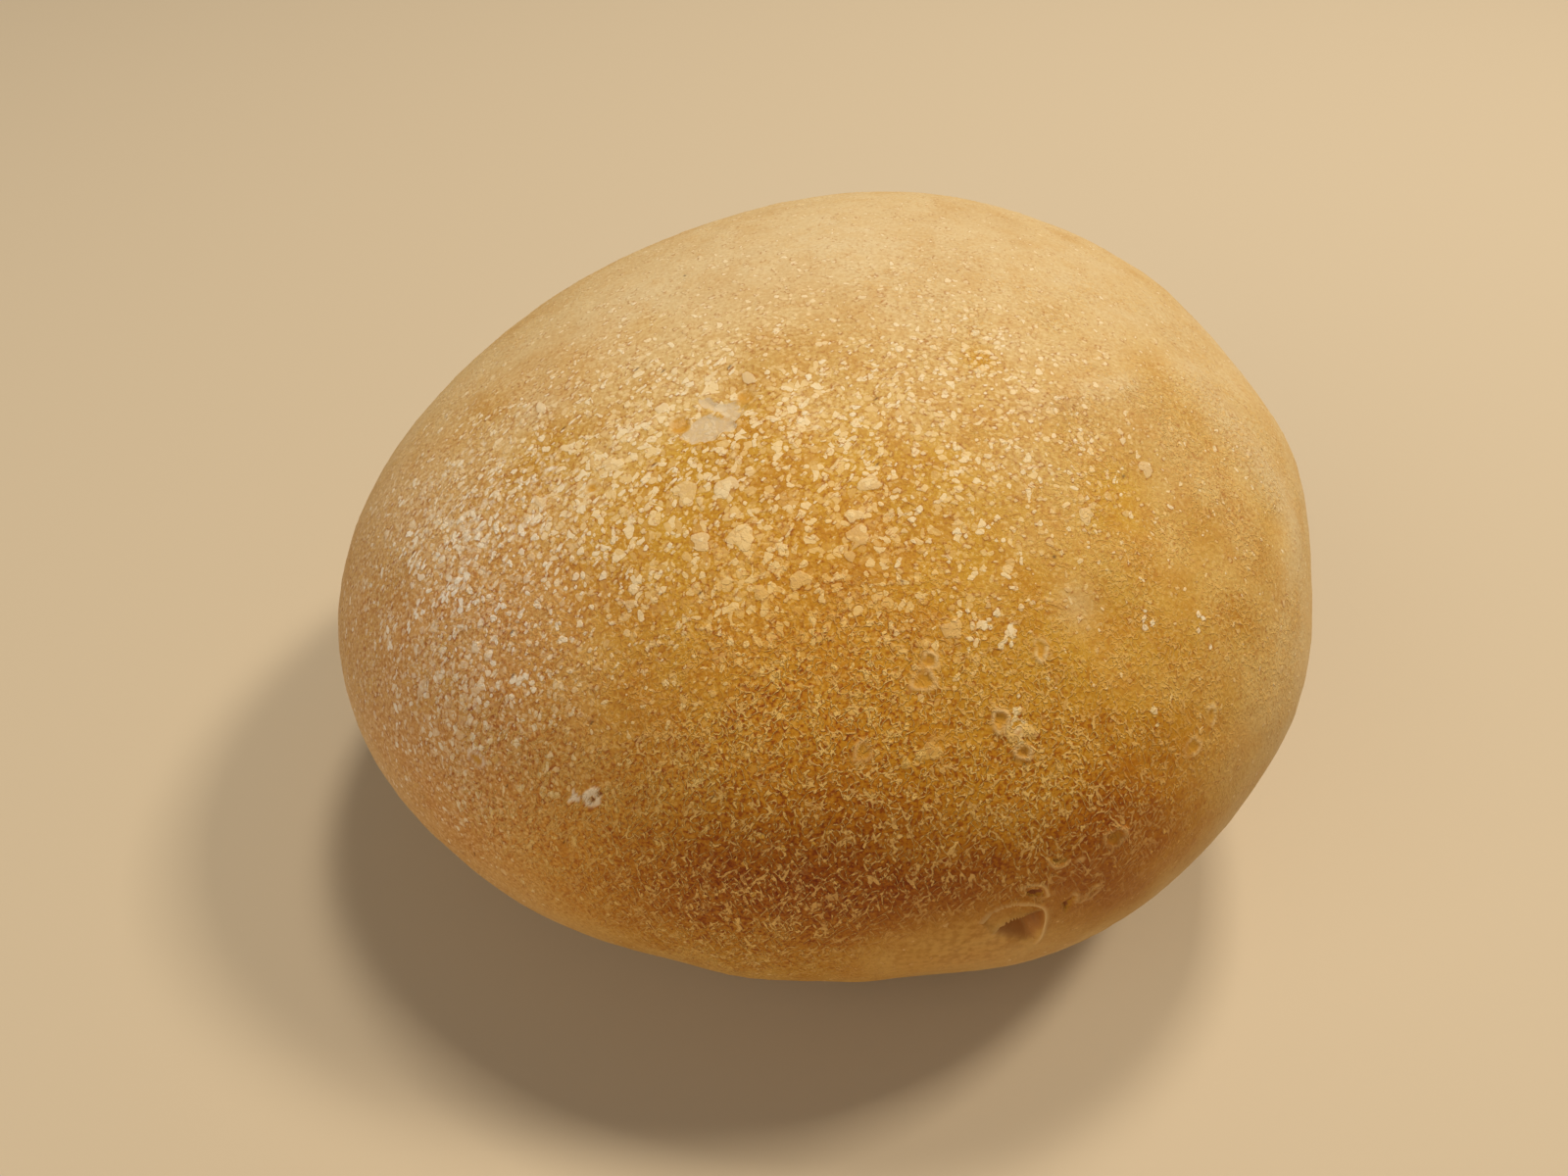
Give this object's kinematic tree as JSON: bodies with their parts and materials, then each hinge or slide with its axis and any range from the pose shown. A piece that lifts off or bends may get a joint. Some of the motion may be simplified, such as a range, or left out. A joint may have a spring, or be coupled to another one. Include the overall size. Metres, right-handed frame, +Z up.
{
  "type": "bread roll",
  "caption": "Domed, slightly lopsided crusty bread roll on a small flat foot, with a blistered golden crust, torn skin near the crown and a burst bubble low on the front.",
  "frame": {"origin": "middle of the bounding box in X and Y, on the flat underside at Z = 0", "axes": "+X along the roll's longest way, to the right as seen from the front; +Y to the back; +Z up, the shortest way"},
  "size_m": [0.1098, 0.1028, 0.0662],
  "materials": {
    "crust": "matte baked crust, golden with pale blisters and a browner flank"
  },
  "bodies": {
    "root": {"roll": "crust"}
  },
  "joints": []
}
